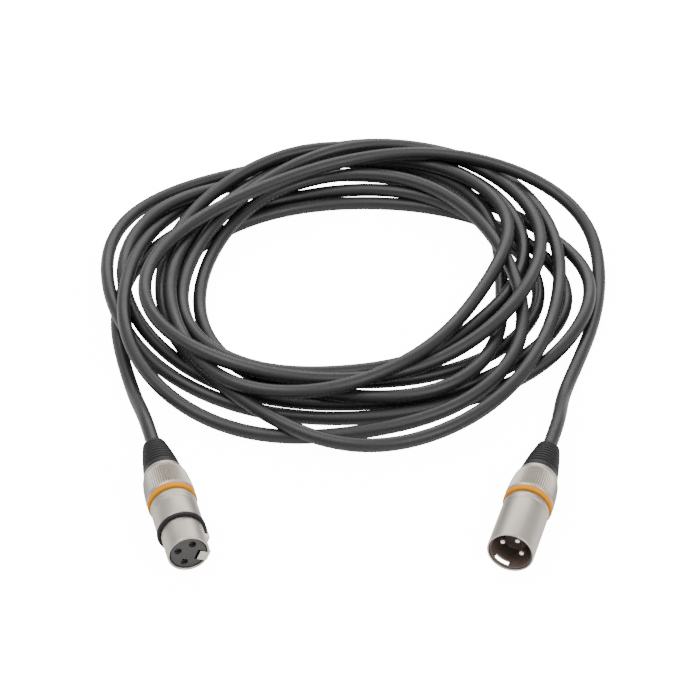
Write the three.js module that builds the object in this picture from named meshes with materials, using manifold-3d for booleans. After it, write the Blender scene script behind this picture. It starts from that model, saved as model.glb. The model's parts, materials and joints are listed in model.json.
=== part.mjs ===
// A coiled three-pole microphone lead: one long jacketed cable lying in about ten loose turns,
// with a male and a female three-pole connector on its two ends.
// Millimetres, +Z up. The origin is the centre of the lead's footprint on the ground; -Y is the front.

import * as THREE from 'three';
import { mergeVertices } from 'three/addons/utils/BufferGeometryUtils.js';
import Module from 'manifold-3d';

const wasm = await Module();
wasm.setup();

// Cable
const CABLE_RADIUS = 3.0;
const CABLE_SIDES = 8;
const COIL_STEPS = 360;
const TAIL_STEPS = 10;
const TAIL_SIDES = 12;
const TAIL_SLACK = 0.02; // a tail's run is this much thinner than the balls at its ends
const BALL_SIDES = 16;
const LENGTH_SAMPLES = 6000; // how finely the coil's length is measured when it is divided into steps
const TAIL_REACH = 0.4; // how far, as a share of its length, a tail keeps its end directions
const GAP = 0.3; // clearance between neighbouring pieces
const FLEX_GAP = CABLE_RADIUS + GAP; // from a flex pivot to the flat end of the next piece

// Lay of the coil
const STATION_DEG = 30; // angle between two entries of the lay table
const LAY_STEP_DEG = 2; // angle between two points of the worked path
const MALE_END_DEG = 56; // where the coil begins, next to the male tail
const FEMALE_END_DEG = 3544; // where the coil ends, next to the female tail
const STRAND_SPACING = 6.5; // least distance between the centre lines of two strands
const FLOOR_HEIGHT = 3.05; // centre line height of a strand lying on the ground

// Connectors: s is a distance behind the mouth, along the connector's axis
const SHELL_RADIUS = 9.5;
const SHELL_BORE = 8.65;
const BARREL_RADIUS = 8.5;
const BARREL_BORE = 7.4;
const NECK_RADIUS = 7.9;
const NECK_BORE = 6.6;
const NECK_LENGTH = 7;
const RING_RADIUS = 10.15;
const AXIS_HEIGHT = RING_RADIUS + 0.05; // a connector lies on its colour ring
const RING_WIDTH = 2.4;
const RING_PLAY = 0.2; // between the colour ring and the neck
const RING_BEVEL = 0.3;
const RING_BEVEL_LENGTH = 0.4;
const COLLAR_FRONT_RADIUS = 9.95;
const COLLAR_REAR_RADIUS = 8.35;
const COLLAR_LENGTH = 16.0;
const COLLAR_GRIP_END = 12.5; // from the collar's front to the end of its grip
const COLLAR_STEP_AT = 14; // from the collar's front to the narrow rear rim
const COLLAR_SEAT = 3.4; // length of the bore that holds the boot's front end
const COLLAR_WALL = 1.4;
const BOOT_FRONT_RADIUS = 7.95;
const BOOT_REAR_RADIUS = 4.7;
const BOOT_LENGTH = 19.5;
const BOOT_TAPER = 1.3; // above 1 the boot narrows more towards its rear
const BOOT_GROOVES = 7;
const GROOVE_START = 4.5; // from the boot's front face to the first groove
const GROOVE_PITCH = 1.85;
const GROOVE_DEPTH = 0.7;
const GROOVE_SLOPE = 0.3;
const GROOVE_FLOOR = 0.4;
const BOOT_TIP = 1.2; // length of the rounded rear tip
const BOOT_TIP_DEPTH = 0.9;
const BOOT_SPIGOT_RADIUS = 6.2; // the boot's front end, inside the collar
const BOOT_SPIGOT_LENGTH = 3.0;
const CHUCK_RADIUS = 6.1;
const CHUCK_SLOT = 1.2;
const CHUCK_FRONT_TAPER = 2.0;
const CHUCK_REAR_TAPER = 1.5;
const JACKET_IN_CHUCK = 1.0; // from the clamp's front face to the jacket's cut end
const JACKET_SIDES = 16;
const CHUCK_GAP = 0.4;
const JACKET_STUB = 10; // from the boot's rear end to the flex pivot
const CONTACT_CIRCLE = 4.45;
const CONTACT_RADIUS = 1.2;
const SOCKET_RADIUS = 1.5;
const WIRE_RADIUS = 0.65;
const WIRE_CIRCLE = 1.3;
const WIRE_REACH = 0.4; // how far, as a share of its length, a wire keeps its end directions
const WIRE_STEPS = 6;
const ROUND = 24; // segments of a large round piece
const SHELL_ROUND = 32; // segments of the two metal shells
const SMALL_ROUND = 12; // segments of a contact or wire

const MALE = { x: 61.4, y: -179.3, turnDeg: -16.6, ringAt: 28.1, contacts: [63, 153, -27] };
const FEMALE = { x: -64.2, y: -180.0, turnDeg: 14.9, ringAt: 30.3, contacts: [66, 156, 246] };
const WINDOW_DEG = -117; // latch window of the male shell
const KEY_DEG = -24; // key slot and latch of the female barrel

const COLOURS = {
  jacket: [0x2b2a2d, 0.5, 0],
  rubber: [0x1d1c1e, 0.6, 0],
  nickel: [0xbdb8ae, 0.35, 1],
  ring: [0xe8960c, 0.4, 0],
  insert: [0x1c1a1a, 0.5, 0],
  contact: [0xd8d4cc, 0.25, 1],
  chuck: [0x55565a, 0.6, 0],
  spring: [0x9a9a98, 0.35, 1],
  red: [0xa01e1c, 0.5, 0],
  white: [0xd8d6d0, 0.5, 0],
  copper: [0xb06a3a, 0.35, 1],
};

const rad = (deg) => (deg * Math.PI) / 180;

// ---------------------------------------------------------------- solids

// Leaves only positions, merges shared vertices, drops collapsed triangles and faces them outwards.
function closed(geometry) {
  const bare = new THREE.BufferGeometry();
  bare.setAttribute('position', geometry.getAttribute('position').clone());
  if (geometry.index) bare.setIndex(geometry.index.clone());
  const merged = mergeVertices(bare, 1e-4);
  const source = merged.index.array;
  const kept = [];
  for (let i = 0; i < source.length; i += 3) {
    const [a, b, c] = [source[i], source[i + 1], source[i + 2]];
    if (a !== b && b !== c && c !== a) kept.push(a, b, c);
  }
  const at = (i) => new THREE.Vector3().fromBufferAttribute(merged.getAttribute('position'), i);
  let volume = 0;
  for (let i = 0; i < kept.length; i += 3) {
    volume += at(kept[i]).dot(at(kept[i + 1]).cross(at(kept[i + 2])));
  }
  if (volume < 0) kept.reverse();
  merged.setIndex(kept);
  return merged;
}

function toSolid(geometry) {
  const shape = closed(geometry);
  const vertProperties = new Float32Array(shape.getAttribute('position').array);
  const triVerts = new Uint32Array(shape.index.array);
  return new wasm.Manifold(new wasm.Mesh({ numProp: 3, vertProperties, triVerts }));
}

function toGeometry(solid) {
  const mesh = solid.getMesh();
  const geometry = new THREE.BufferGeometry();
  geometry.setAttribute('position', new THREE.BufferAttribute(new Float32Array(mesh.vertProperties), 3));
  geometry.setIndex(Array.from(mesh.triVerts));
  return geometry;
}

function cut(geometry, tools) {
  const solid = tools.reduce((body, tool) => body.subtract(toSolid(tool)), toSolid(geometry));
  return toGeometry(solid);
}

function join(geometries) {
  const solids = geometries.map(toSolid);
  return toGeometry(solids.reduce((body, other) => body.add(other)));
}

// A turned piece about local Z from [radius, s] points.
function turned(profile, segments = ROUND) {
  const onAxis = profile[0][0] === 0 && profile[profile.length - 1][0] === 0;
  const outline = onAxis ? profile : [...profile, profile[0]];
  const points = outline.map(([radius, s]) => new THREE.Vector2(radius, -s));
  return closed(new THREE.LatheGeometry(points, segments).rotateX(Math.PI / 2));
}

function rod(radius, from, to, segments = SMALL_ROUND) {
  return turned([[0, from], [radius, from], [radius, to], [0, to]], segments);
}

// A tube of the cable's section along a curve, flat at both ends.
function tube(curve, radius, steps, sides) {
  const section = new THREE.Shape();
  for (let i = 0; i < sides; i += 1) {
    const a = (2 * Math.PI * i) / sides;
    const [x, y] = [radius * Math.cos(a), radius * Math.sin(a)];
    if (i === 0) section.moveTo(x, y);
    else section.lineTo(x, y);
  }
  section.closePath();
  return closed(new THREE.ExtrudeGeometry(section, { steps, extrudePath: curve, bevelEnabled: false }));
}

function moved(geometry, deg, radius) {
  geometry.translate(radius * Math.cos(rad(deg)), radius * Math.sin(rad(deg)), 0);
  return geometry;
}

// A box spanning a radial range and an s range, centred on an angle about the axis.
function radialBox(deg, inner, outer, width, from, to) {
  const box = new THREE.BoxGeometry(outer - inner, width, to - from);
  box.translate((inner + outer) / 2, 0, -(from + to) / 2);
  return box.rotateZ(rad(deg));
}

function named(name, geometry, colour) {
  const [color, roughness, metalness] = COLOURS[colour];
  const mesh = new THREE.Mesh(geometry, new THREE.MeshStandardMaterial({ color, roughness, metalness }));
  mesh.name = name;
  return mesh;
}

// ---------------------------------------------------------------- the coil

// One row per turn, from the male end to the female end; each entry is [radius, height] at the
// next 30 degrees round the coil. The heights only set which strand lies over which: the cable is
// then let down under its own weight until the strands rest on one another.
const LAY = [
  [[200, 3], [136, 3], [110, 3], [110, 3], [120, 8], [103, 20],
    [88, 24], [77, 24], [80, 22], [93, 20], [95, 20], [87, 16]],
  [[75, 13], [70, 13], [73, 16], [81, 16], [98, 15], [108, 17],
    [103, 19], [84, 17], [77, 13], [77, 11], [81, 12], [79, 10]],
  [[67, 8], [63, 8], [61, 8], [73, 9], [91, 12], [105, 14],
    [106, 17], [98, 19], [91, 17], [86, 13], [88, 11], [95, 13]],
  [[115, 13], [106, 9], [94, 9], [93, 11], [104, 11], [118, 12],
    [115, 12], [92, 14], [82, 13], [82, 12], [87, 14], [96, 18]],
  [[82, 22], [65, 20], [57, 16], [63, 15], [84, 14], [97, 12],
    [104, 11], [107, 10], [106, 8], [103, 15], [110, 14], [112, 9]],
  [[100, 7], [96, 13], [85, 12], [73, 9], [73, 13], [80, 14],
    [87, 13], [83, 9], [73, 6], [70, 3], [73, 4], [75, 5]],
  [[81, 5], [86, 8], [74, 8], [67, 5], [77, 9], [95, 11],
    [106, 9], [112, 9], [121, 7], [109, 9], [103, 8], [94, 4]],
  [[88, 3], [89, 3], [100, 6], [109, 8], [102, 3], [99, 3],
    [102, 6], [101, 9], [106, 13], [103, 13], [92, 9], [83, 6]],
  [[77, 3], [81, 3], [88, 3], [98, 3], [89, 3], [80, 3],
    [75, 3], [77, 3], [81, 3], [86, 7], [80, 8], [76, 8]],
  [[68, 6], [69, 4], [77, 3], [86, 3], [86, 5], [82, 6],
    [82, 6], [84, 4], [98, 3], [105, 3], [112, 4], [136, 9.5]],
];

const ITERATIONS = 400;
const FALLING_PART = 0.7; // share of the iterations in which the cable sinks
const RESTING_PART = 0.85; // after this share only the contacts and the stiffness act
const SINK_STEP = 0.06;
const HOME_PULL = 0.03; // how far each point is drawn back to its place in plan, per iteration
const STIFFNESS = 0.25;
const RESTING_STIFFNESS = 0.14;
const SIDEWAYS_SHARE = 0.35; // strands in contact give way mostly up and down, and this much sideways
const STIFF_REACH = [1, 4]; // neighbours used by the bending stiffness, in path points
const SAME_STRAND = 30; // path points closer than this belong to one strand
const NEAR = 11; // strands closer than this are tested for contact
const PAIRS_EVERY = 10; // iterations between two searches for near strands

// A smooth value between the entries of an evenly spaced list.
function between(values, position) {
  const i = Math.min(Math.floor(position), values.length - 2);
  const u = position - i;
  const at = (k) => values[Math.max(0, Math.min(values.length - 1, k))];
  const [a, b, c, d] = [at(i - 1), at(i), at(i + 1), at(i + 2)];
  return b + 0.5 * u * (c - a + u * (2 * a - 5 * b + 4 * c - d + u * (3 * (b - c) + d - a)));
}

function layPoints() {
  const entries = LAY.flat();
  const radii = entries.map(([radius]) => radius);
  const heights = entries.map(([, height]) => height);
  const points = [];
  for (let deg = MALE_END_DEG; deg <= FEMALE_END_DEG; deg += LAY_STEP_DEG) {
    const radius = between(radii, deg / STATION_DEG);
    const height = Math.max(FLOOR_HEIGHT, between(heights, deg / STATION_DEG));
    points.push(new THREE.Vector3(radius * Math.sin(rad(deg)), -radius * Math.cos(rad(deg)), height));
  }
  return points;
}

function nearPairs(points) {
  const pairs = [];
  for (let i = 0; i < points.length; i += 1) {
    for (let j = i + SAME_STRAND; j < points.length; j += 1) {
      const across = Math.hypot(points[i].x - points[j].x, points[i].y - points[j].y);
      if (across < NEAR && Math.abs(points[i].z - points[j].z) < NEAR) pairs.push([i, j]);
    }
  }
  return pairs;
}

// Bending stiffness: heights are evened out, and so is each point's drift from its place in plan.
function stiffen(points, home, amount) {
  for (const reach of STIFF_REACH) {
    const before = points.map((point) => point.clone());
    const first = Math.max(2, reach);
    for (let i = first; i < points.length - first; i += 1) {
      const drift = (k, axis) => before[k][axis] - home[k][axis];
      for (const axis of ['x', 'y']) {
        const wanted = 0.5 * (drift(i - reach, axis) + drift(i + reach, axis));
        points[i][axis] += amount * (wanted - drift(i, axis));
      }
      const level = 0.5 * (before[i - reach].z + before[i + reach].z);
      points[i].z += amount * (level - before[i].z);
    }
  }
}

function pushApart(points, pairs) {
  for (const [i, j] of pairs) {
    const apart = new THREE.Vector3().subVectors(points[i], points[j]);
    const distance = apart.length();
    if (distance >= STRAND_SPACING || distance === 0) continue;
    apart.multiplyScalar((0.5 * (STRAND_SPACING - distance)) / distance);
    apart.x *= SIDEWAYS_SHARE;
    apart.y *= SIDEWAYS_SHARE;
    points[i].add(apart);
    points[j].sub(apart);
  }
  for (const point of points) point.z = Math.max(point.z, FLOOR_HEIGHT);
}

function settle(points) {
  const home = points.map((point) => point.clone());
  let pairs = [];
  for (let step = 0; step < ITERATIONS; step += 1) {
    if (step % PAIRS_EVERY === 0) pairs = nearPairs(points);
    const resting = step > ITERATIONS * RESTING_PART;
    for (let i = 2; i < points.length - 2; i += 1) {
      if (step < ITERATIONS * FALLING_PART) points[i].z -= SINK_STEP;
      if (resting) continue;
      points[i].x += HOME_PULL * (home[i].x - points[i].x);
      points[i].y += HOME_PULL * (home[i].y - points[i].y);
    }
    stiffen(points, home, resting ? RESTING_STIFFNESS : STIFFNESS);
    pushApart(points, pairs);
    pushApart(points, pairs);
  }
  return points;
}

const path = settle(layPoints());

const END_SPAN = 4; // path points that give the cable's direction at an end of the coil

function inward(end, next) {
  return new THREE.Vector3().subVectors(next, end).normalize();
}

// The coil stops short of each flex pivot, with a flat end.
function makeCoil() {
  const points = path.map((point) => point.clone());
  const last = points.length - 1;
  const start = points[0].clone().addScaledVector(inward(points[0], points[END_SPAN]), FLEX_GAP);
  const end = points[last].clone().addScaledVector(inward(points[last], points[last - END_SPAN]), FLEX_GAP);
  const middlePoints = points.slice(END_SPAN, last - END_SPAN + 1);
  const curve = new THREE.CatmullRomCurve3([start, ...middlePoints, end]);
  curve.arcLengthDivisions = LENGTH_SAMPLES;
  return named('cable_coil', tube(curve, CABLE_RADIUS, COIL_STEPS, CABLE_SIDES), 'jacket');
}

// ---------------------------------------------------------------- connectors

function connectorGroup({ x, y, turnDeg }) {
  const group = new THREE.Group();
  group.position.set(x, y, AXIS_HEIGHT);
  group.rotation.set(Math.PI / 2, 0, rad(turnDeg), 'ZXY');
  return group;
}

// How far the boot's rear end is behind the mouth.
const bootEnd = ({ ringAt }) => ringAt + RING_WIDTH + GAP + COLLAR_LENGTH + GAP + BOOT_LENGTH;

function flexPivot(spec) {
  const back = bootEnd(spec) + JACKET_STUB;
  const [dx, dy] = [Math.sin(rad(spec.turnDeg)), -Math.cos(rad(spec.turnDeg))];
  return new THREE.Vector3(spec.x - back * dx, spec.y - back * dy, AXIS_HEIGHT);
}

// The short run of cable from the coil to a connector, with a ball at each flex pivot.
function makeTail(name, start, inwardDirection, spec) {
  const end = flexPivot(spec);
  const reach = start.distanceTo(end) * TAIL_REACH;
  const axis = new THREE.Vector3(Math.sin(rad(spec.turnDeg)), -Math.cos(rad(spec.turnDeg)), 0);
  const curve = new THREE.CubicBezierCurve3(
    start,
    start.clone().addScaledVector(inwardDirection, -reach),
    end.clone().addScaledVector(axis, -reach),
    end,
  );
  const ball = ({ x, y, z }) => {
    const sphere = new THREE.SphereGeometry(CABLE_RADIUS, BALL_SIDES, BALL_SIDES / 2);
    return sphere.translate(x, y, z);
  };
  const run = tube(curve, CABLE_RADIUS - TAIL_SLACK, TAIL_STEPS, TAIL_SIDES);
  return named(name, join([run, ball(start), ball(end)]), 'jacket');
}

function makeBoot(front) {
  const rear = front + BOOT_LENGTH;
  const radiusAt = (s) => {
    const u = (s - front) / BOOT_LENGTH;
    return BOOT_FRONT_RADIUS - (BOOT_FRONT_RADIUS - BOOT_REAR_RADIUS) * u ** BOOT_TAPER;
  };
  const outer = [
    [BOOT_SPIGOT_RADIUS, front - BOOT_SPIGOT_LENGTH], [BOOT_SPIGOT_RADIUS, front], [BOOT_FRONT_RADIUS, front],
  ];
  for (let i = 0; i < BOOT_GROOVES; i += 1) {
    const s = front + GROOVE_START + i * GROOVE_PITCH;
    const floor = radiusAt(s) - GROOVE_DEPTH;
    const floorEnd = s + GROOVE_SLOPE + GROOVE_FLOOR;
    outer.push([radiusAt(s), s], [floor, s + GROOVE_SLOPE], [floor, floorEnd]);
    outer.push([radiusAt(s), floorEnd + GROOVE_SLOPE]);
  }
  outer.push([radiusAt(rear - BOOT_TIP), rear - BOOT_TIP], [radiusAt(rear) - BOOT_TIP_DEPTH, rear]);
  return turned([[FLEX_GAP, front - BOOT_SPIGOT_LENGTH], ...outer, [FLEX_GAP, rear]]);
}

function makeCollar(front) {
  const rear = front + COLLAR_LENGTH;
  return turned([
    [NECK_RADIUS + GAP, front],
    [COLLAR_FRONT_RADIUS, front],
    [COLLAR_FRONT_RADIUS - 0.1, front + 5],
    [COLLAR_REAR_RADIUS + 0.4, front + COLLAR_GRIP_END],
    [COLLAR_REAR_RADIUS, front + COLLAR_STEP_AT],
    [COLLAR_REAR_RADIUS - 0.1, rear],
    [NECK_BORE, rear],
    [NECK_BORE, rear - COLLAR_SEAT],
    [NECK_BORE + 0.2, front + NECK_LENGTH + 1],
    [COLLAR_FRONT_RADIUS - COLLAR_WALL - GAP, front + NECK_LENGTH + 0.4],
    [NECK_RADIUS + GAP, front + NECK_LENGTH],
  ]);
}

// Split clamp that grips the jacket behind the neck.
function makeChuck(from, to) {
  const ring = turned([
    [FLEX_GAP, from], [CHUCK_RADIUS - 0.7, from], [CHUCK_RADIUS, from + CHUCK_FRONT_TAPER],
    [CHUCK_RADIUS, to - CHUCK_REAR_TAPER], [CHUCK_RADIUS - 0.9, to], [FLEX_GAP, to],
  ]);
  const slots = [0, 120, 240].map((deg) => radialBox(deg, 1, 8, CHUCK_SLOT, from + 2.5, to + 1));
  return cut(ring, slots);
}

function makeWire(deg, from, to) {
  const [cos, sin] = [Math.cos(rad(deg)), Math.sin(rad(deg))];
  const point = (radius, s) => new THREE.Vector3(radius * cos, radius * sin, -s);
  const reach = (to - from) * WIRE_REACH;
  const curve = new THREE.CubicBezierCurve3(
    point(CONTACT_CIRCLE, from),
    point(CONTACT_CIRCLE, from + reach),
    point(WIRE_CIRCLE, to - reach),
    point(WIRE_CIRCLE, to),
  );
  return tube(curve, WIRE_RADIUS, WIRE_STEPS, SMALL_ROUND / 2);
}

// Everything behind the shell: colour ring, collar, boot, clamp, jacket end and three wires.
function rearPieces(prefix, spec, contactEnd) {
  const neckEnd = spec.ringAt + NECK_LENGTH;
  const ringEnd = spec.ringAt + RING_WIDTH;
  const collarFront = ringEnd + GAP;
  const bootFront = collarFront + COLLAR_LENGTH + GAP;
  const chuckFrom = neckEnd + CHUCK_GAP;
  const chuckTo = bootFront - BOOT_SPIGOT_LENGTH - CHUCK_GAP;
  const jacketFrom = chuckFrom + JACKET_IN_CHUCK;
  const jacketTo = bootEnd(spec) + JACKET_STUB - FLEX_GAP;
  const ring = turned([
    [NECK_RADIUS + RING_PLAY, spec.ringAt], [RING_RADIUS - RING_BEVEL, spec.ringAt],
    [RING_RADIUS, spec.ringAt + RING_BEVEL_LENGTH], [RING_RADIUS, ringEnd - RING_BEVEL_LENGTH],
    [RING_RADIUS - RING_BEVEL, ringEnd], [NECK_RADIUS + RING_PLAY, ringEnd],
  ]);
  const wireColours = ['red', 'white', 'copper'];
  const wires = spec.contacts.map((deg, i) => {
    const wire = makeWire(deg, contactEnd + GAP, jacketFrom - GAP);
    return named(`${prefix}_wire_${i + 1}`, wire, wireColours[i]);
  });
  return [
    named(`${prefix}_colour_ring`, ring, 'ring'),
    named(`${prefix}_collar`, makeCollar(collarFront), 'nickel'),
    named(`${prefix}_boot`, makeBoot(bootFront), 'rubber'),
    named(`${prefix}_chuck`, makeChuck(chuckFrom, chuckTo), 'chuck'),
    named(`${prefix}_jacket_end`, rod(CABLE_RADIUS, jacketFrom, jacketTo, JACKET_SIDES), 'jacket'),
    ...wires,
  ];
}

// ---------------------------------------------------------------- male connector

const INSERT_CLEAR = 0.5; // from an insert's rear face to the step in the shell's bore
const PIN_HOLE_PLAY = 0.2;
const PIN_TIP_RADIUS = 0.7;
const PIN_RECESS = 2.8;
const MALE_INSERT_FROM = 12.5;
const MALE_INSERT_TO = 26;
const PIN_END = 29;
const LINER_FROM = 0.9; // the insert lines the shell's bore almost to the mouth
const LINER_WALL = 0.4;
const WINDOW_WIDTH = 6.3;
const WINDOW_FROM = 1.7;
const WINDOW_TO = 4.7;

// The latch window goes through the shell and the liner.
const makeWindow = () => radialBox(WINDOW_DEG, 7, 11, WINDOW_WIDTH, WINDOW_FROM, WINDOW_TO);

function makeMale() {
  const group = connectorGroup(MALE);
  const shoulder = MALE.ringAt - GAP;
  const neckEnd = MALE.ringAt + NECK_LENGTH;
  const shell = turned([
    [SHELL_BORE, 0], [SHELL_RADIUS - 0.25, 0], [SHELL_RADIUS, 0.3],
    [SHELL_RADIUS, shoulder - 3.6], [SHELL_RADIUS - 0.3, shoulder - 3.2],
    [SHELL_RADIUS - 0.3, shoulder - 2.4], [SHELL_RADIUS, shoulder - 2.0],
    [SHELL_RADIUS, shoulder], [NECK_RADIUS, shoulder], [NECK_RADIUS, neckEnd],
    [NECK_BORE, neckEnd], [NECK_BORE, MALE_INSERT_TO + INSERT_CLEAR],
    [SHELL_BORE, MALE_INSERT_TO + INSERT_CLEAR],
  ], SHELL_ROUND);
  group.add(named('male_shell', cut(shell, [makeWindow()]), 'nickel'));

  const cup = turned([
    [0, MALE_INSERT_FROM], [SHELL_BORE - GAP - LINER_WALL, MALE_INSERT_FROM],
    [SHELL_BORE - GAP - LINER_WALL, LINER_FROM], [SHELL_BORE - GAP, LINER_FROM],
    [SHELL_BORE - GAP, MALE_INSERT_TO], [0, MALE_INSERT_TO],
  ]);
  const holes = MALE.contacts.map((deg) => {
    const hole = rod(CONTACT_RADIUS + PIN_HOLE_PLAY, MALE_INSERT_FROM - 1, MALE_INSERT_TO + 1);
    return moved(hole, deg, CONTACT_CIRCLE);
  });
  group.add(named('male_insert', cut(cup, [...holes, makeWindow()]), 'insert'));

  MALE.contacts.forEach((deg, i) => {
    const pin = turned([
      [0, PIN_RECESS], [PIN_TIP_RADIUS, PIN_RECESS + 0.15], [CONTACT_RADIUS, PIN_RECESS + 0.9],
      [CONTACT_RADIUS, PIN_END], [0, PIN_END],
    ], SMALL_ROUND);
    group.add(named(`male_pin_${i + 1}`, moved(pin, deg, CONTACT_CIRCLE), 'contact'));
  });
  group.add(...rearPieces('male', MALE, PIN_END));
  return group;
}

// ---------------------------------------------------------------- female connector

const FEMALE_INSERT_FROM = 0.6;
const FEMALE_INSERT_TO = 25;
const SOCKET_FROM = 2.6;
const SOCKET_END = 29.5;
const CONTACT_OUTER = 1.3;
const CONTACT_BORE = 0.85;
const CONTACT_BORE_END = 15;
const SLOT_WIDTH = 4.8;
const BEAD_DEPTH = 0.35;
const SPRING_WIDTH = 3;
const FEMALE_INSERT_PLAY = 0.25;
const GASKET_PLAY = 0.15;
const GASKET_RADIUS = 9.95;
const GASKET_FLAT_RADIUS = 9.6;
const SLOT_END = 14.4;
const LATCH_WIDTH = 4.2;
const LATCH_NOSE_INNER = 4.5; // the nose all but fills the key slot
const LATCH_TEETH = 6;
const GASKET_FROM = 12.7;
const GASKET_TO = 14.5;

function makeHousing() {
  const shoulder = FEMALE.ringAt - GAP;
  const neckEnd = FEMALE.ringAt + NECK_LENGTH;
  const bead = (s) => [
    [SHELL_RADIUS, s], [SHELL_RADIUS - BEAD_DEPTH, s + 0.3],
    [SHELL_RADIUS - BEAD_DEPTH, s + 0.8], [SHELL_RADIUS, s + 1.1],
  ];
  const body = turned([
    [BARREL_BORE, 0.4], [BARREL_BORE + 0.35, 0], [BARREL_RADIUS - 0.35, 0], [BARREL_RADIUS, 0.4],
    [BARREL_RADIUS, GASKET_TO + GAP], [SHELL_RADIUS, GASKET_TO + GAP],
    ...bead(shoulder - 4.8), ...bead(shoulder - 2.6),
    [SHELL_RADIUS, shoulder], [NECK_RADIUS, shoulder], [NECK_RADIUS, neckEnd],
    [NECK_BORE, neckEnd], [NECK_BORE, FEMALE_INSERT_TO + INSERT_CLEAR],
    [BARREL_BORE, FEMALE_INSERT_TO + INSERT_CLEAR],
  ], SHELL_ROUND);
  const slot = radialBox(KEY_DEG, 3, 11, SLOT_WIDTH, -1, SLOT_END);
  return named('female_housing', cut(body, [slot]), 'nickel');
}

function makeFemaleInsert() {
  const disc = turned([
    [0, FEMALE_INSERT_FROM], [BARREL_BORE - FEMALE_INSERT_PLAY, FEMALE_INSERT_FROM],
    [BARREL_BORE - FEMALE_INSERT_PLAY, FEMALE_INSERT_TO], [0, FEMALE_INSERT_TO],
  ]);
  const holes = FEMALE.contacts.map((deg) => {
    const hole = rod(SOCKET_RADIUS, FEMALE_INSERT_FROM - 1, FEMALE_INSERT_TO + 1);
    return moved(hole, deg, CONTACT_CIRCLE);
  });
  const keySlot = radialBox(KEY_DEG, 3.4, 9, SLOT_WIDTH, -1, SLOT_END + 1);
  return named('female_insert', cut(disc, [...holes, keySlot]), 'insert');
}

// The latch lever seen from its side: x is the radius, y is s.
function makeLatch() {
  const [padFrom, padTo] = [4.9, 12.2];
  const tooth = (padTo - padFrom) / LATCH_TEETH;
  const outline = [[6.6, 14.0], [8.0, 14.0], [8.0, padTo + 0.2]];
  for (let i = 0; i < LATCH_TEETH; i += 1) {
    const s = padTo - i * tooth;
    outline.push([10.1, s], [10.7, s - tooth * 0.3], [10.7, s - tooth * 0.6]);
  }
  outline.push([10.1, padFrom], [8.3, padFrom - 0.5], [8.3, 2.6], [9.2, 2.2]);
  outline.push([9.0, 1.2], [8.2, 0.4]);
  outline.push([LATCH_NOSE_INNER, 0.4], [LATCH_NOSE_INNER, 5.5], [6.6, 6.6]);
  const shape = new THREE.Shape(outline.map(([radius, s]) => new THREE.Vector2(radius, -s)));
  const lever = new THREE.ExtrudeGeometry(shape, { depth: LATCH_WIDTH, bevelEnabled: false });
  lever.translate(0, 0, -LATCH_WIDTH / 2).rotateX(Math.PI / 2).rotateZ(rad(KEY_DEG));
  return named('female_latch', closed(lever), 'nickel');
}

// A leaf spring under the latch, lying on the floor of the key slot.
function makeLatchSpring() {
  const outline = [[3.7, 15.0], [4.1, 15.0], [4.1, 12.0], [5.2, 9.0], [5.2, 8.2], [4.9, 8.2], [3.7, 11.8]];
  const shape = new THREE.Shape(outline.map(([radius, s]) => new THREE.Vector2(radius, -s)));
  const leaf = new THREE.ExtrudeGeometry(shape, { depth: SPRING_WIDTH, bevelEnabled: false });
  leaf.translate(0, 0, -SPRING_WIDTH / 2).rotateX(Math.PI / 2).rotateZ(rad(KEY_DEG));
  return named('female_latch_spring', closed(leaf), 'spring');
}

function makeFemale() {
  const group = connectorGroup(FEMALE);
  const gasket = turned([
    [BARREL_RADIUS + GASKET_PLAY, GASKET_FROM], [GASKET_FLAT_RADIUS, GASKET_FROM],
    [GASKET_RADIUS, GASKET_FROM + 0.5], [GASKET_RADIUS, GASKET_TO - 0.5],
    [GASKET_FLAT_RADIUS, GASKET_TO], [BARREL_RADIUS + GASKET_PLAY, GASKET_TO],
  ]);
  group.add(makeHousing(), makeFemaleInsert(), makeLatch(), makeLatchSpring());
  group.add(named('female_gasket', gasket, 'rubber'));
  FEMALE.contacts.forEach((deg, i) => {
    const socket = turned([
      [0, CONTACT_BORE_END], [CONTACT_BORE, CONTACT_BORE_END], [CONTACT_BORE, SOCKET_FROM],
      [CONTACT_OUTER, SOCKET_FROM], [CONTACT_OUTER, SOCKET_END], [0, SOCKET_END],
    ], SMALL_ROUND);
    group.add(named(`female_contact_${i + 1}`, moved(socket, deg, CONTACT_CIRCLE), 'contact'));
  });
  group.add(...rearPieces('female', FEMALE, SOCKET_END));
  return group;
}

// ---------------------------------------------------------------- the whole lead

const lead = new THREE.Group();
const lastPoint = path.length - 1;
const maleInward = inward(path[0], path[END_SPAN]);
const femaleInward = inward(path[lastPoint], path[lastPoint - END_SPAN]);
lead.add(makeCoil());
lead.add(makeTail('male_tail', path[0].clone(), maleInward, MALE));
lead.add(makeTail('female_tail', path[lastPoint].clone(), femaleInward, FEMALE));
lead.add(makeMale());
lead.add(makeFemale());

const extent = new THREE.Box3().setFromObject(lead, true);
const middle = extent.getCenter(new THREE.Vector3());
lead.position.set(-middle.x, -middle.y, -extent.min.z);

export default lead;
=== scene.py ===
import json
import math

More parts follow.
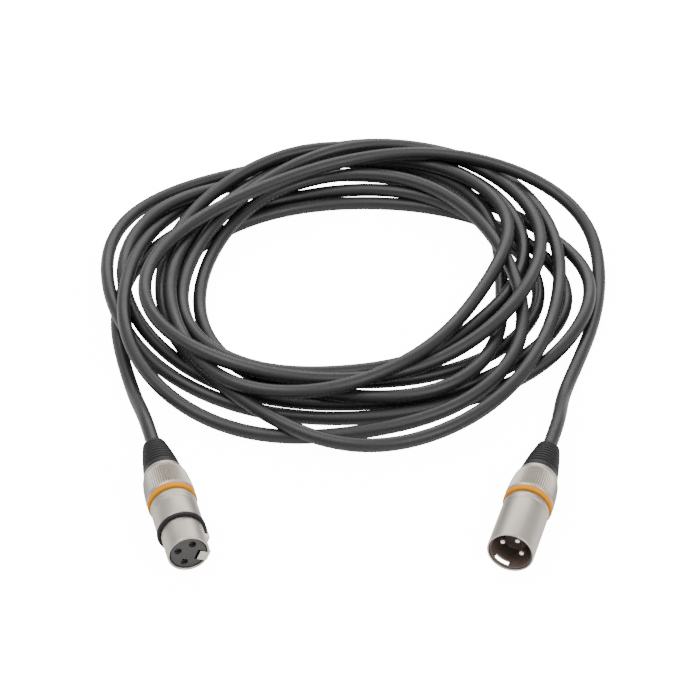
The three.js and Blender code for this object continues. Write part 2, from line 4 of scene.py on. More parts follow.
import bmesh
import bpy
import numpy as np
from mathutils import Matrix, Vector


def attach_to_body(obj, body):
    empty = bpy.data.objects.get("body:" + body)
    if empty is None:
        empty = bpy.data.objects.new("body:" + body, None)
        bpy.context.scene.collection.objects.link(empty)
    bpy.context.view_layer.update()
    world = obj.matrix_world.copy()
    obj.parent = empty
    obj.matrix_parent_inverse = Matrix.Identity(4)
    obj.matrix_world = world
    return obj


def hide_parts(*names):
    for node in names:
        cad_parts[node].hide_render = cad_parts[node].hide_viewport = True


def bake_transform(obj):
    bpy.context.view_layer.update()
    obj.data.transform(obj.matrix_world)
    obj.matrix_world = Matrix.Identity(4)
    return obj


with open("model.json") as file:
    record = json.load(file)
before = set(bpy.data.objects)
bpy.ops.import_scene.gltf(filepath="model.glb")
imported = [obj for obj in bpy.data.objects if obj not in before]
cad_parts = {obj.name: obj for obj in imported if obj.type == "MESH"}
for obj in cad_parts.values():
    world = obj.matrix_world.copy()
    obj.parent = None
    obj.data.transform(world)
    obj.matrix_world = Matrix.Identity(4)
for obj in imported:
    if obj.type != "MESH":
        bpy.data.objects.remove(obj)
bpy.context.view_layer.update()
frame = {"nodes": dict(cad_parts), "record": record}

RECORD = frame["record"]
MM = 0.001

# ---------------------------------------------------------------- sizes, in millimetres

CABLE_R = 3.0
CABLE_SIDES = 20
CABLE_STEP = 1.6  # along the cable, between two rings of the swept tube
CABLE_EASING = 12  # rounds of smoothing along the whole cable
FLOOR_CLEARANCE = 0.02  # under the lowest strand
COIL_SECTION = 8  # sides of the coil's CAD tube
BEND_REACH = 13.0  # how far a bend spreads each side of a coil joint
TAIL_REACH = 0.4  # how far, as a share of its length, a tail keeps its end directions
TAIL_STEPS = 24
JACKET_IN_BOOT = (4.0, 8.0, 12.0, 16.0, 20.0)  # places of the jacket in the boot, past the flex pivot

# radii of the connectors
SHELL_R, SHELL_STEP_R = 9.5, 9.2
BARREL_R = 8.5
BARREL_BORE = 7.4
LINER_R, LINER_BORE = 8.57, 8.15
NECK_R, NECK_BORE = 7.9, 6.6
PIN_R, PIN_HOLE_R, SOCKET_R = 1.2, 1.4, 1.5
CONTACT_CIRCLE = 4.45
RING_R = 10.15
COLLAR_FRONT_R, COLLAR_NARROWING, COLLAR_TAPER = 9.98, 1.45, 1.9  # a taper above 1 is fuller in front
BOOT_FRONT_R, BOOT_NARROWING, BOOT_TAPER = 7.95, 3.25, 1.35
MALE_RIM_R, FEMALE_RIM_R = 8.95, 7.95  # where the rim mounts stand above each axis

# lengths, and distances behind each connector's mouth
MALE_RING, FEMALE_RING = 28.1, 30.3
NECK_L = 7
RING_W, GAP, COLLAR_L, BOOT_L = 2.4, 0.3, 16.0, 19.5
BOOT_SPIGOT = 3.0  # the part of the boot that is held in the collar
WINDOW_FROM, WINDOW_TO, WINDOW_W = 1.7, 4.7, 6.3
KEY_SLOT_W = 4.8

# angles about each connector's axis, in degrees
MALE_CONTACTS, FEMALE_CONTACTS = (63, 153, -27), (66, 156, 246)
WINDOW_DEG, KEY_DEG = -117, -24

# fine detail
RIDGES = 64
KNURL_START, KNURL_LENGTH, KNURL_DEPTH = 0.6, 13.0, 0.24
KNURL_STEPS = 14
RIBS, RIB_START, RIB_PITCH = 8, 2.9, 1.85
LATCH_W, LATCH_TEETH = 4.2, 6
PAD_FRONT, PAD_REAR, PAD_LOW, PAD_HIGH = 10.0, 17.2, 10.2, 10.95
SOFT_EDGE = 0.08
SOFT_EDGE_DEG = 35
FINE = 128  # segments of a large turned piece
UV_RADIUS = 9.0  # radius at which the surface grain has its true width

# the stage, in metres and degrees
CAMERA_AIM = (-0.00131, -0.00455, -0.00005)
CAMERA_DISTANCE = 1.103
CAMERA_ELEVATION = 37.5
CAMERA_LENS = 129.34
FLOOR_GLOW = 14.0  # seen by the camera only, so it lights nothing
FLOOR_HALF = 6.0
FLOOR_Z = -0.00005
WORLD_LIGHT = 0.9


# ---------------------------------------------------------------- materials

def tree(name):
    """A new node material, with its nodes, links and shader."""
    mat = bpy.data.materials.new(name)
    mat.use_nodes = True
    nodes, links = mat.node_tree.nodes, mat.node_tree.links
    return mat, nodes, links, nodes["Principled BSDF"]


def noise(nodes, links, source, scale, detail=4.0, rough=0.55, stretch=None):
    """Cloud noise over a coordinate, which stretch scales apart on each axis."""
    tex = nodes.new("ShaderNodeTexNoise")
    tex.inputs["Scale"].default_value = scale
    tex.inputs["Detail"].default_value = detail
    tex.inputs["Roughness"].default_value = rough
    if stretch:
        mapping = nodes.new("ShaderNodeMapping")
        mapping.inputs["Scale"].default_value = stretch
        links.new(source, mapping.inputs["Vector"])
        source = mapping.outputs["Vector"]
    links.new(source, tex.inputs["Vector"])
    return tex.outputs["Fac"]


def ramp(nodes, links, fac, low, high, start=0.3, end=0.7):
    """Maps start to end onto low to high."""
    node = nodes.new("ShaderNodeMapRange")
    node.inputs["From Min"].default_value = start
    node.inputs["From Max"].default_value = end
    node.inputs["To Min"].default_value = low
    node.inputs["To Max"].default_value = high
    links.new(fac, node.inputs["Value"])
    return node.outputs["Result"]


def mix_colour(nodes, links, fac, a, b):
    """A blend of two colours, each a triple or another node's output."""
    node = nodes.new("ShaderNodeMix")
    node.data_type = "RGBA"
    for socket, value in ((node.inputs[6], a), (node.inputs[7], b)):
        if isinstance(value, bpy.types.NodeSocket):
            links.new(value, socket)
        else:
            socket.default_value = (*value, 1)
    links.new(fac, node.inputs[0])
    return node.outputs[2]


def bump(nodes, links, shader, height, distance):
    node = nodes.new("ShaderNodeBump")
    node.inputs["Distance"].default_value = distance
    node.inputs["Strength"].default_value = 1.0
    links.new(height, node.inputs["Height"])
    links.new(node.outputs["Normal"], shader.inputs["Normal"])


def surface(name, dark, light, rough, metal=0.0, cloud=60.0, grain=2500.0, depth=2e-5, gloss=0.5,
            stretch=None):
    """A moulded or plated surface: cloudy colour, grainy roughness and a fine surface bump."""
    mat, nodes, links, shader = tree(name)
    coord = nodes.new("ShaderNodeTexCoord")
    where = coord.outputs["UV"] if stretch else coord.outputs["Object"]
    big = noise(nodes, links, coord.outputs["Object"], cloud)
    fine = noise(nodes, links, where, grain, detail=3.0, stretch=stretch)
    links.new(mix_colour(nodes, links, big, dark, light), shader.inputs["Base Color"])
    links.new(ramp(nodes, links, fine, rough[0], rough[1]), shader.inputs["Roughness"])
    shader.inputs["Metallic"].default_value = metal
    shader.inputs["Specular IOR Level"].default_value = gloss
    bump(nodes, links, shader, fine, depth)
    return mat


# printed ticks on the jacket, in metres along it and round it
MARK_GROUP_EVERY, MARK_GROUP_LENGTH = 0.45, 0.042
MARK_EVERY, MARK_WIDTH = 0.0026, 0.0009
MARK_LINE, MARK_HALF_HEIGHT = 0.0094, 0.00085


def jacket_material():
    """PVC jacket: near black with a soft shine, fine drawn lines along it and faint printed ticks."""
    mat, nodes, links, shader = tree("jacket_pvc")
    coord = nodes.new("ShaderNodeTexCoord")
    cloud = noise(nodes, links, coord.outputs["Object"], 45.0)
    fine = noise(nodes, links, coord.outputs["Object"], 2200.0, detail=3.0)
    drawn = noise(nodes, links, coord.outputs["UV"], 1.0, detail=2.0, stretch=(14.0, 900.0, 1.0))
    base = mix_colour(nodes, links, cloud, (0.0055, 0.0050, 0.0060), (0.0095, 0.0088, 0.0100))
    split = nodes.new("ShaderNodeSeparateXYZ")
    links.new(coord.outputs["UV"], split.inputs["Vector"])

    def maths(op, a, b=0.0):
        node = nodes.new("ShaderNodeMath")
        node.operation = op
        for socket, value in ((node.inputs[0], a), (node.inputs[1], b)):
            if isinstance(value, bpy.types.NodeSocket):
                links.new(value, socket)
            else:
                socket.default_value = value
        return node.outputs[0]

    along, round_ = split.outputs["X"], split.outputs["Y"]
    group = maths("LESS_THAN", maths("MODULO", along, MARK_GROUP_EVERY), MARK_GROUP_LENGTH)
    stroke = maths("LESS_THAN", maths("MODULO", along, MARK_EVERY), MARK_WIDTH)
    off_line = maths("ABSOLUTE", maths("SUBTRACT", round_, MARK_LINE))
    band = maths("LESS_THAN", off_line, MARK_HALF_HEIGHT)
    marks = maths("MULTIPLY", maths("MULTIPLY", group, stroke), band)
    worn = maths("MULTIPLY", marks, ramp(nodes, links, fine, 0.2, 0.6))
    links.new(mix_colour(nodes, links, worn, base, (0.07, 0.068, 0.07)), shader.inputs["Base Color"])
    rough = maths("ADD", ramp(nodes, links, cloud, 0.40, 0.50), ramp(nodes, links, fine, -0.04, 0.05))
    links.new(rough, shader.inputs["Roughness"])
    height = maths("ADD", fine, maths("MULTIPLY", drawn, 1.5))
    shader.inputs["Specular IOR Level"].default_value = 0.44
    bump(nodes, links, shader, height, 1.6e-5)
    return mat


MATERIALS = {
    "jacket": jacket_material(),
    "rubber": surface(
        "boot_rubber", (0.005, 0.0048, 0.0058), (0.009, 0.0085, 0.010), (0.45, 0.6),
        grain=3200.0, gloss=0.25),
    "nickel": surface(
        "satin_nickel", (0.37, 0.335, 0.295), (0.45, 0.41, 0.365), (0.38, 0.5), metal=1.0,
        grain=1.0, depth=3e-6, stretch=(90.0, 5200.0, 1.0)),
    "polished": surface(
        "rim_nickel", (0.40, 0.37, 0.33), (0.50, 0.465, 0.42), (0.22, 0.34), metal=1.0, depth=2e-6),
    "ring": surface("ring_plastic", (0.50, 0.185, 0.0), (0.58, 0.22, 0.0), (0.45, 0.58), gloss=0.1),
    "insert": surface("insert_plastic", (0.018, 0.016, 0.016), (0.034, 0.03, 0.029), (0.42, 0.58)),
    # painted reflection: the liner's brownish colour stands in for the shell's inner metal mirroring the dark
    # insert; only its back face stands for real dark insert plastic
    "liner": surface("liner_plastic_and_painted_reflection", (0.085, 0.058, 0.048), (0.12, 0.085, 0.07), (0.35, 0.5)),
    "contact": surface("contact_plate", (0.78, 0.76, 0.71), (0.86, 0.84, 0.80), (0.16, 0.28), metal=1.0),
    "chuck": surface("chuck_nylon", (0.09, 0.09, 0.095), (0.14, 0.14, 0.15), (0.45, 0.6)),
    "steel": surface("spring_steel", (0.40, 0.40, 0.39), (0.52, 0.51, 0.5), (0.25, 0.4), metal=1.0),
    "red": surface("wire_red", (0.38, 0.02, 0.02), (0.5, 0.04, 0.035), (0.3, 0.45)),
    "white": surface("wire_white", (0.68, 0.67, 0.63), (0.8, 0.79, 0.75), (0.3, 0.45)),
    "copper": surface("wire_copper", (0.55, 0.27, 0.13), (0.7, 0.38, 0.2), (0.25, 0.45), metal=1.0),
}


# ---------------------------------------------------------------- mesh helpers

class Place:
    """A connector's own frame: Z towards the mouth, Y up, origin at the mouth's centre."""

    def __init__(self, mount, rim_radius):
        spec = next(m for m in RECORD["mounts"] if m["name"] == mount)
        self.z = np.array(spec["axis"], float)
        self.y = np.array([0.0, 0.0, 1.0])
        self.x = np.cross(self.y, self.z)
        self.origin = np.array(spec["pos_m"], float) - self.y * rim_radius * MM

    def at(self, points):
        """Points as rows of (x, y, s) in mm to world metres."""
        p = np.asarray(points, float) * MM
        return self.origin + p[:, :1] * self.x + p[:, 1:2] * self.y - p[:, 2:3] * self.z


def new_object(name, verts, faces, material, uvs=None, sharp=35.0):
    """A mesh object from plain lists; uvs holds one pair for each vertex."""
    mesh = bpy.data.meshes.new(name)
    mesh.from_pydata([tuple(v) for v in verts], [], [tuple(f) for f in faces])
    if uvs is not None:
        layer = mesh.uv_layers.new(name="UVMap")
        flat = np.array([uvs[k] for face in faces for k in face], np.float32)
        layer.data.foreach_set("uv", flat.ravel())
    mesh.update()
    ob = bpy.data.objects.new(name, mesh)
    bpy.context.scene.collection.objects.link(ob)
    mesh.materials.append(MATERIALS[material])
    face_outwards(ob, sharp)
    return ob


def shade_smooth(ob, sharp):
    """Smooth shading that breaks at edges sharper than an angle in degrees."""
    ob.data.polygons.foreach_set("use_smooth", [True] * len(ob.data.polygons))
    ob.data.set_sharp_from_angle(angle=math.radians(sharp))


def face_outwards(ob, sharp, merge=False):
    bm = bmesh.new()
    bm.from_mesh(ob.data)
    if merge:
        bmesh.ops.remove_doubles(bm, verts=bm.verts, dist=1e-7)
    bmesh.ops.recalc_face_normals(bm, faces=bm.faces)
    bm.to_mesh(ob.data)
    bm.free()
    shade_smooth(ob, sharp)


def rounded(profile, radius, closed=True):
    """Softens the corners of a profile with small arcs."""
    steps = 3
    pts = [np.array(p, float) for p in profile]
    out = []
    n = len(pts)
    for i, p in enumerate(pts):
        if not closed and i in (0, n - 1):
            out.append(p)
            continue
        a, b = pts[i - 1] - p, pts[(i + 1) % n] - p
        la, lb = np.linalg.norm(a), np.linalg.norm(b)
        r = min(radius, la * 0.45, lb * 0.45)
        if r < 0.01:
            out.append(p)
            continue
        start, end = p + a / la * r, p + b / lb * r
        for k in range(steps + 1):
            t = k / steps
            out.append((1 - t) ** 2 * start + 2 * t * (1 - t) * p + t * t * end)
    return out


def turned(name, place, profile, material, segments=FINE, centre=(0.0, 0.0), wave=None, soft=0.15,
           sharp=35.0):
    """A turned piece from a profile of (radius, s), where s is the distance behind the mouth.

    A profile that starts on the axis is closed there. wave adds to the radius at (angle, radius, s).
    """
    axial = abs(profile[0][0]) < 1e-9
    pts = rounded(profile, soft, closed=not axial)
    n = len(pts)
    verts, uvs = [], []
    for k in range(segments):
        a = 2 * math.pi * k / segments
        for r, s in pts:
            rr = r + (wave(a, r, s) if wave else 0.0)
            verts.append((centre[0] + rr * math.cos(a), centre[1] + rr * math.sin(a), s))
            uvs.append((a * UV_RADIUS * MM, s * MM))
    faces = []
    rows = n - 1 if axial else n
    for k in range(segments):
        k2 = (k + 1) % segments
        for i in range(rows):
            j = (i + 1) % n
            faces.append((k * n + i, k2 * n + i, k2 * n + j, k * n + j))
    world = place.at(verts)
    ob = new_object(name, world, faces, material, uvs, sharp)
    if axial:
        face_outwards(ob, sharp, merge=True)
    return ob


def block(place, deg, inner, outer, width, s0, s1):
    """A cutting box across a radial range, as a bare object."""
    c, s = math.cos(math.radians(deg)), math.sin(math.radians(deg))
    verts = []
    for r in (inner, outer):
        for w in (-width / 2, width / 2):
            for z in (s0, s1):
                verts.append((r * c - w * s, r * s + w * c, z))
    faces = [(0, 1, 3, 2), (4, 6, 7, 5), (0, 4, 5, 1), (2, 3, 7, 6), (0, 2, 6, 4), (1, 5, 7, 3)]
    return new_object("cutter", place.at(verts), faces, "nickel")


def cut(ob, cutters, sharp=35.0):
    """Cuts each tool out of a piece, then removes the tools."""
    for tool in cutters:
        mod = ob.modifiers.new("cut", "BOOLEAN")
        mod.operation = "DIFFERENCE"
        mod.object = tool
        mod.solver = "EXACT"
    bpy.context.view_layer.update()
    mesh = bpy.data.meshes.new_from_object(ob.evaluated_get(bpy.context.evaluated_depsgraph_get()))
    ob.modifiers.clear()
    old = ob.data
    name = old.name
    ob.data = mesh
    bpy.data.meshes.remove(old)
    mesh.name = name
    for tool in cutters:
        bpy.data.objects.remove(tool)
    while len(ob.data.materials) > 1:
        ob.data.materials.pop()
    shade_smooth(ob, sharp)


def soften(ob):
    """Small bevels along a piece's hard edges."""
    edge = ob.modifiers.new("soft_edges", "BEVEL")
    edge.width = SOFT_EDGE * MM
    edge.segments = 2
    edge.limit_method = "ANGLE"
    edge.angle_limit = math.radians(SOFT_EDGE_DEG)


def attach(ob, body, node):
    """Puts a piece on its body, in place of a CAD node."""
    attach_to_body(ob, body)
    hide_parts(node)


# ---------------------------------------------------------------- cable

def joint(name):
    """A joint of the record, by name."""
    return next(j for j in RECORD["behaviour"]["joints"] if j["name"] == name)


def coil_centres():
    """Ring centres of the coil's CAD tube, from its male end to its female end."""
    mesh = frame["nodes"]["cable_coil"].data
    co = np.array([v.co for v in mesh.vertices], float)
    keys = {}
    same = np.zeros(len(co), int)
    for i, p in enumerate(np.round(co * 1e5).astype(int)):
        same[i] = keys.setdefault(tuple(p), i)
    near = {}
    for poly in mesh.polygons:
        ids = [same[v] for v in poly.vertices]
        for a in ids:
            near.setdefault(a, set()).update(ids)
    start = np.array(joint("male_tail_swing")["pos_m"])
    order = sorted(near, key=lambda i: np.linalg.norm(co[i] - start))
    level = order[:COIL_SECTION]
    seen = set(level)
    centres = []
    while level:
        centres.append(co[level].mean(0))
        following = set()
        for a in level:
            following |= near[a]
        level = [v for v in following if v not in seen]
        seen.update(level)
    return np.array(centres) / MM


def bezier(a, b, c, d, steps):
    """Points on a cubic curve from a to d."""
    t = np.linspace(0, 1, steps)[:, None]
    return (1 - t) ** 3 * a + 3 * t * (1 - t) ** 2 * b + 3 * t * t * (1 - t) * c + t ** 3 * d


def tail_points(side, coil_end, coil_next, axis):
    """From the coil's end to deep inside the boot."""
    p1 = np.array(joint(side + "_tail_swing")["pos_m"]) / MM
    p2 = np.array(joint(side + "_plug_lift")["pos_m"]) / MM
    out = (coil_end - coil_next) / np.linalg.norm(coil_end - coil_next)
    reach = TAIL_REACH * np.linalg.norm(p2 - p1)
    run = bezier(p1, p1 + out * reach, p2 - axis * reach, p2, TAIL_STEPS)
    inside = [p2 + axis * k for k in JACKET_IN_BOOT]
    return p1, p2, np.vstack([run, inside])


def resample(points, step):
    """Evenly spaced points on a smooth curve through the given ones, and their distances along it."""
    d = np.r_[0, np.cumsum(np.linalg.norm(np.diff(points, axis=0), axis=1))]
    n = int(d[-1] / step) + 1
    wanted = np.linspace(0, d[-1], n)
    out = np.empty((n, 3))
    for c in range(3):
        y = points[:, c]
        m = np.gradient(y, d)
        i = np.clip(np.searchsorted(d, wanted) - 1, 0, len(d) - 2)
        h = d[i + 1] - d[i]
        t = (wanted - d[i]) / h
        out[:, c] = ((2 * t ** 3 - 3 * t ** 2 + 1) * y[i] + (t ** 3 - 2 * t ** 2 + t) * h * m[i]
                     + (-2 * t ** 3 + 3 * t ** 2) * y[i + 1] + (t ** 3 - t ** 2) * h * m[i + 1])
    return out, wanted


def smooth(points, rounds):
    """Evens out a path, leaving its two ends in place."""
    p = points.copy()
    for _ in range(rounds):
        p[1:-1] = 0.5 * p[1:-1] + 0.25 * (p[:-2] + p[2:])
    return p


def frames(points):
    """Twist-free side directions along the path."""
    tangent = np.gradient(points, axis=0)
    tangent /= np.linalg.norm(tangent, axis=1)[:, None]
    side = np.cross(tangent[0], [0, 0, 1.0])
    sides = []
    for t in tangent:
        side = side - t * side.dot(t)
        side = side / np.linalg.norm(side)
        sides.append(side)
    sides = np.array(sides)
    return sides, np.cross(tangent, sides)


def sweep(name, points, sides, ups, lengths):
    """A closed round tube with flat ends over a stretch of the path."""
    n, m = len(points), CABLE_SIDES
    a = 2 * np.pi * np.arange(m) / m
    ring = np.cos(a)[None, :, None] * sides[:, None, :] + np.sin(a)[None, :, None] * ups[:, None, :]
    verts = (points[:, None, :] + CABLE_R * ring).reshape(-1, 3) * MM
    faces, corner_uv = [], []
    side_width = 2 * np.pi * CABLE_R / m * MM
    for i in range(n - 1):
        for k in range(m):
            k2 = (k + 1) % m
            faces.append((i * m + k, i * m + k2, (i + 1) * m + k2, (i + 1) * m + k))
            u0, u1, v0, v1 = lengths[i] * MM, lengths[i + 1] * MM, k * side_width, (k + 1) * side_width
            corner_uv += [(u0, v0), (u0, v1), (u1, v1), (u1, v0)]
    for end in (list(range(m))[::-1], list(range((n - 1) * m, n * m))):
        faces.append(tuple(end))
        corner_uv += [(0.2, 0.0)] * m
    mesh = bpy.data.meshes.new(name)
    mesh.from_pydata([tuple(v) for v in verts], [], faces)
    layer = mesh.uv_layers.new(name="UVMap")
    layer.data.foreach_set("uv", np.array(corner_uv, np.float32).ravel())
    mesh.materials.append(MATERIALS["jacket"])
    mesh.polygons.foreach_set("use_smooth", [True] * len(mesh.polygons))
    mesh.set_sharp_from_angle(angle=math.radians(60))
    mesh.update()
    ob = bpy.data.objects.new(name, mesh)
    bpy.context.scene.collection.objects.link(ob)
    return ob


def build_cable(male, female):
    """The jacket in five pieces: the coil, and two at each end that each span one joint."""
    coil = coil_centres()
    # m and f are the two ends; 1 is the joint at the coil and 2 the one behind the boot
    m1, m2, male_run = tail_points("male", coil[0], coil[1], male.z)
    f1, f2, female_run = tail_points("female", coil[-1], coil[-2], female.z)
    whole = np.vstack([male_run[::-1], smooth(coil, 2), female_run])
    points, lengths = resample(whole, CABLE_STEP)
    points = smooth(points, CABLE_EASING)
    points[:, 2] = np.maximum(points[:, 2], CABLE_R + FLOOR_CLEARANCE)
    sides, ups = frames(points)
    half = len(points) // 2

    def nearest(target, part):
        return part.start + int(np.argmin(np.linalg.norm(points[part] - target, axis=1)))

    first, second = slice(0, half), slice(half, len(points))
    reach = int(BEND_REACH / CABLE_STEP)
    im2, im1 = nearest(m2, first), nearest(m1, first)
    if1, if2 = nearest(f1, second), nearest(f2, second)
    m_mid, f_mid = (im1 + im2) // 2, (if1 + if2) // 2
    last = len(points) - 1
    # first and last ring, the two bodies, the bend's ring, which way it runs, and the CAD node
    spans = {
        "male_jacket_boot": (0, m_mid, "male_tail", "male_plug", im2, -1, "male_jacket_end"),
        "male_jacket_tail": (m_mid, im1 + reach + 2, "coil", "male_tail", im1, -1, "male_tail"),
        "coil_jacket": (im1 + reach + 2, if1 - reach - 2, None, None, 0, 0, "cable_coil"),
        "female_jacket_tail": (if1 - reach - 2, f_mid, "coil", "female_tail", if1, 1, "female_tail"),
        "female_jacket_boot": (f_mid, last, "female_tail", "female_plug", if2, 1, "female_jacket_end"),
    }
    for name, (a, b, one, two, pivot, sign, node) in spans.items():
        part = slice(a, b + 1)
        ob = sweep(name, points[part], sides[part], ups[part], lengths[part])
        if one is None:
            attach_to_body(ob, "coil")
        else:
            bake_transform(ob)
        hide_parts(node)


# ---------------------------------------------------------------- connectors

def collar_piece(side, place, front):
    rear = front + COLLAR_L

    def wave(angle, radius, s):
        """Straight ridges on the outside of the collar, faded out at both ends."""
        u = (s - front - KNURL_START) / KNURL_LENGTH
        if radius < 8.4 or not 0 <= u <= 1:
            return 0.0
        fade = min(1.0, u * 14, (1 - u) * 10)
        zigzag = abs(((angle * RIDGES / (2 * math.pi)) % 1) * 2 - 1) * 2 - 1.0
        return KNURL_DEPTH * fade * zigzag

    outer = [(9.75, front)]
    for k in range(KNURL_STEPS + 1):
        s = front + KNURL_START + KNURL_LENGTH * k / KNURL_STEPS
        u = (s - front) / COLLAR_L
        outer.append((COLLAR_FRONT_R - COLLAR_NARROWING * u ** COLLAR_TAPER, s))
    outer += [(8.62, front + 14.0), (8.5, front + 14.3), (8.45, rear - 0.5), (8.2, rear)]
    inner = [(NECK_BORE, rear), (NECK_BORE, rear - 3.4), (6.8, front + 8.0), (8.15, front + 7.2)]
    inner.append((NECK_R + GAP, front))
    ob = turned(side + "_knurled_collar", place, outer + inner, "nickel", RIDGES * 6, wave=wave, soft=0.1)
    attach(ob, side + "_collar", side + "_collar")


def boot_piece(side, place, front):
    rear = front + BOOT_L

    def radius(s):
        u = (s - front) / BOOT_L
        return BOOT_FRONT_R - BOOT_NARROWING * u ** BOOT_TAPER

    outer = [(6.2, front - BOOT_SPIGOT), (6.2, front - 0.1), (7.6, front - 0.1)]
    outer.append((BOOT_FRONT_R, front + 0.3))
    first = front + RIB_START
    outer.append((radius(first - 1.4), first - 1.4))
    for k in range(RIBS):
        s = first + k * RIB_PITCH
        r = radius(s)
        outer += [(r + 0.1, s), (r - 0.15, s + 0.25), (r - 0.65, s + 0.45), (r - 0.65, s + 0.75)]
        outer += [(radius(s + 1.2) + 0.02, s + 1.0)]
    tip = radius(rear)
    outer += [(radius(rear - 1.3) + 0.1, rear - 1.5), (tip + 0.1, rear - 0.7), (tip - 0.8, rear)]
    inner = [(3.25, rear), (3.25, front - BOOT_SPIGOT)]
    ob = turned(side + "_ribbed_boot", place, outer + inner, "rubber", segments=96, soft=0.22, sharp=60)
    attach(ob, side + "_boot", side + "_boot")


def ring_piece(side, place, start):
    end = start + RING_W
    profile = [(8.1, start), (9.8, start), (RING_R, start + 0.3), (RING_R, end - 0.3), (9.8, end), (8.1, end)]
    ob = turned(side + "_code_ring", place, profile, "ring", soft=0.3, sharp=50)
    attach(ob, side + "_plug", side + "_colour_ring")


def contact_centre(deg):
    return CONTACT_CIRCLE * math.cos(math.radians(deg)), CONTACT_CIRCLE * math.sin(math.radians(deg))


def rod(place, radius, s0, s1, deg):
    """A round cutter on the circle of contacts."""
    profile = [(0, s0), (radius, s0), (radius, s1), (0, s1)]
    return turned("cutter", place, profile, "nickel", segments=40, centre=contact_centre(deg), soft=0.0)


def rear_pieces(side, place, ring_at):
    """Colour ring, collar and boot, one behind the other."""
    collar_front = ring_at + RING_W + GAP
    ring_piece(side, place, ring_at)
    collar_piece(side, place, collar_front)
    boot_piece(side, place, collar_front + COLLAR_L + GAP)


def male_connector(place):
    shoulder, neck = MALE_RING - GAP, MALE_RING + NECK_L
    groove = [(SHELL_R, shoulder - 4.6), (9.28, shoulder - 4.2),
              (9.28, shoulder - 3.2), (SHELL_R, shoulder - 2.8)]
    outer = [(8.72, 0.25), (8.9, 0.0), (9.3, 0.0), (SHELL_R, 0.3), *groove,
             (SHELL_R, shoulder - 1.2), (SHELL_STEP_R, shoulder - 0.9),
             (SHELL_STEP_R, shoulder), (NECK_R, shoulder), (NECK_R, neck)]
    inner = [(NECK_BORE, neck), (NECK_BORE, 26.5), (8.65, 26.5)]
    shell = turned("male_plug_shell", place, outer + inner, "nickel", soft=0.18)
    cut(shell, [block(place, WINDOW_DEG, 7.5, 11, WINDOW_W, WINDOW_FROM, WINDOW_TO)])
    attach(shell, "male_plug", "male_shell")

    # the liner's sleeve is a brownish sheet painted as the reflection of the dark insert in the shell's inner
    # metal; its back face is the dark insert itself
    liner = turned("male_plug_insert", place, [
        (0, 12.5), (7.4, 12.5), (LINER_BORE, 11.6), (LINER_BORE, 0.9), (8.45, 0.7), (LINER_R, 0.9),
        (LINER_R, 26.0), (0, 26.0)], "liner", soft=0.12)
    holes = [rod(place, PIN_HOLE_R, 10, 28, deg) for deg in MALE_CONTACTS]
    window = block(place, WINDOW_DEG, 7.4, 11, WINDOW_W, WINDOW_FROM, WINDOW_TO)
    cut(liner, [window, *holes])
    attach(liner, "male_plug", "male_insert")

    for i, deg in enumerate(MALE_CONTACTS):
        profile = [(0, 2.75), (0.55, 2.8), (0.95, 3.05), (PIN_R, 3.6), (PIN_R, 11), (PIN_R, 29), (0, 29)]
        pin = turned(f"male_contact_pin_{i + 1}", place, profile, "contact", 40, contact_centre(deg),
                     soft=0.1, sharp=60)
        attach(pin, "male_plug", f"male_pin_{i + 1}")
    rear_pieces("male", place, MALE_RING)


def female_connector(place):
    shoulder, neck = FEMALE_RING - GAP, FEMALE_RING + NECK_L

    def groove(s):
        return [(SHELL_R, s), (9.05, s + 0.25), (9.05, s + 0.7), (SHELL_R, s + 1.05)]

    outer = [(7.45, 0.5), (7.7, 0.05), (8.1, -0.02), (8.42, 0.25), (BARREL_R, 0.8)]
    outer += [(BARREL_R, 14.6), (9.3, 14.6), (SHELL_R, 14.85)]
    outer += groove(shoulder - 4.9) + groove(shoulder - 2.8)
    outer += [(SHELL_R, shoulder - 0.9), (SHELL_STEP_R, shoulder - 0.6), (SHELL_STEP_R, shoulder)]
    outer += [(NECK_R, shoulder), (NECK_R, neck)]
    inner = [(NECK_BORE, neck), (NECK_BORE, 25.5), (BARREL_BORE, 25.5)]
    body = turned("female_plug_housing", place, outer + inner, "nickel", soft=0.2)
    cut(body, [block(place, KEY_DEG, 3, 12, KEY_SLOT_W, -1, 14.4)])
    attach(body, "female_plug", "female_housing")

    profile = [(0, 0.7), (7.0, 0.7), (7.25, 1.0), (7.25, 25.0), (0, 25.0)]
    insert = turned("female_plug_insert", place, profile, "insert", soft=0.12)
    holes = [rod(place, SOCKET_R, -1, 27, deg) for deg in FEMALE_CONTACTS]
    cut(insert, [block(place, KEY_DEG, 3.4, 12, KEY_SLOT_W, -1, 15.4), *holes])
    attach(insert, "female_plug", "female_insert")

    profile = [(8.62, 12.7), (9.6, 12.7), (9.98, 13.1), (9.98, 14.1), (9.6, 14.5), (8.62, 14.5)]
    gasket = turned("female_seal_ring", place, profile, "rubber", soft=0.3, sharp=60)
    attach(gasket, "female_plug", "female_gasket")
    rear_pieces("female", place, FEMALE_RING)


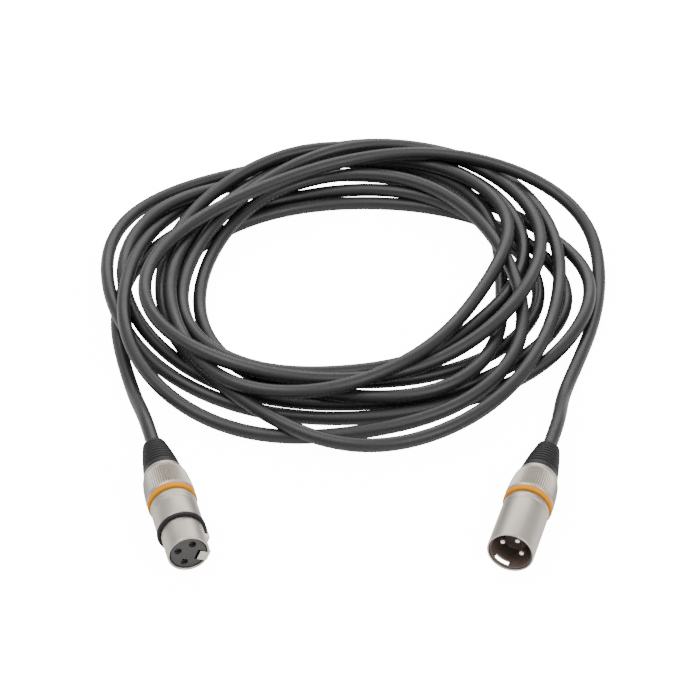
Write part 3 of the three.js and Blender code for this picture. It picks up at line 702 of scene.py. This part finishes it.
def latch_piece(place):
    """The lever in the key slot; its serrated thumb pad reaches back over the gasket."""
    pitch = (PAD_REAR - PAD_FRONT) / LATCH_TEETH
    outline = [(6.6, 14.0), (8.0, 14.0), (8.0, 12.3), (PAD_LOW, 12.3)]
    for k in range(LATCH_TEETH):
        s = PAD_REAR - k * pitch
        outline += [(PAD_LOW + 0.05, s), (PAD_HIGH, s - pitch * 0.3), (PAD_HIGH, s - pitch * 0.65)]
    outline += [(PAD_LOW, PAD_FRONT), (8.3, PAD_FRONT - 0.6), (8.3, 2.6), (9.2, 2.2), (9.0, 1.2), (8.2, 0.4)]
    outline += [(4.4, 0.4), (4.4, 5.5), (6.6, 6.6)]
    n = len(outline)
    cos, sin = math.cos(math.radians(KEY_DEG)), math.sin(math.radians(KEY_DEG))
    verts = []
    for side in (-LATCH_W / 2, LATCH_W / 2):
        verts += [(r * cos - side * sin, r * sin + side * cos, s) for r, s in outline]
    faces = [tuple(range(n)), tuple(range(n, 2 * n))]
    faces += [(k, (k + 1) % n, n + (k + 1) % n, n + k) for k in range(n)]
    lever = new_object("female_latch_lever", place.at(verts), faces, "polished", sharp=25)
    soften(lever)
    attach(lever, "female_latch", "female_latch")


def dress_cad_nodes():
    """CAD nodes that stay in view get a finish and soft edges."""
    looks = {"chuck": "chuck", "contact": "contact", "latch_spring": "steel",
             "wire_1": "red", "wire_2": "white", "wire_3": "copper"}
    for name, ob in frame["nodes"].items():
        look = next((m for key, m in looks.items() if key in name), None)
        if look is None or ob.hide_render:
            continue
        ob.data.materials.clear()
        ob.data.materials.append(MATERIALS[look])
        soften(ob)
        ob.data.polygons.foreach_set("use_smooth", [False] * len(ob.data.polygons))


# ---------------------------------------------------------------- stage

def area_light(name, place, target, size, energy):
    """A soft rectangular light that faces a target."""
    light = bpy.data.lights.new(name, "AREA")
    light.shape = "RECTANGLE"
    light.size, light.size_y = size
    light.energy = energy
    ob = bpy.data.objects.new(name, light)
    ob.location = place
    ob.rotation_euler = (Vector(target) - Vector(place)).to_track_quat("-Z", "Y").to_euler()
    bpy.context.scene.collection.objects.link(ob)


def add_floor():
    mesh = bpy.data.meshes.new("floor")
    s = FLOOR_HALF
    mesh.from_pydata([(-s, -s, 0), (s, -s, 0), (s, s, 0), (-s, s, 0)], [], [(0, 1, 2, 3)])
    floor = bpy.data.objects.new("floor", mesh)
    floor.location.z = FLOOR_Z
    bpy.context.scene.collection.objects.link(floor)
    mat, nodes, links, shader = tree("floor_white")
    shader.inputs["Base Color"].default_value = (0.93, 0.93, 0.93, 1)
    shader.inputs["Roughness"].default_value = 0.9
    shader.inputs["Emission Color"].default_value = (1, 1, 1, 1)
    seen = nodes.new("ShaderNodeLightPath")
    glow = nodes.new("ShaderNodeMath")
    glow.operation = "MULTIPLY"
    glow.inputs[1].default_value = FLOOR_GLOW
    links.new(seen.outputs["Is Camera Ray"], glow.inputs[0])
    links.new(glow.outputs[0], shader.inputs["Emission Strength"])
    mesh.materials.append(mat)


def add_lights():
    world = bpy.data.worlds.new("studio")
    world.use_nodes = True
    world.node_tree.nodes["Background"].inputs["Color"].default_value = (1, 1, 1, 1)
    world.node_tree.nodes["Background"].inputs["Strength"].default_value = WORLD_LIGHT
    bpy.context.scene.world = world
    area_light("key", (-0.35, -0.1, 0.9), (0, 0, 0), (0.7, 0.7), 9.0)
    area_light("fill", (0.6, -0.5, 0.7), (0, -0.05, 0), (0.6, 0.6), 7.0)
    area_light("back", (0.1, 0.8, 0.6), (0, 0, 0), (1.0, 0.4), 6.0)


def add_camera():
    camera = bpy.data.cameras.new("camera")
    camera.sensor_width = 36.0
    camera.lens = CAMERA_LENS
    eye = bpy.data.objects.new("camera", camera)
    up = math.radians(CAMERA_ELEVATION)
    back = Vector((0.0, -math.cos(up), math.sin(up)))
    eye.location = Vector(CAMERA_AIM) + CAMERA_DISTANCE * back
    eye.rotation_euler = back.to_track_quat("Z", "Y").to_euler()
    bpy.context.scene.collection.objects.link(eye)
    bpy.context.scene.camera = eye


# ---------------------------------------------------------------- the whole lead

MALE_PLACE = Place("male_rim", MALE_RIM_R)
FEMALE_PLACE = Place("female_rim", FEMALE_RIM_R)
build_cable(MALE_PLACE, FEMALE_PLACE)
male_connector(MALE_PLACE)
female_connector(FEMALE_PLACE)
latch_piece(FEMALE_PLACE)
dress_cad_nodes()
add_floor()
add_lights()
add_camera()

bpy.context.view_layer.update()
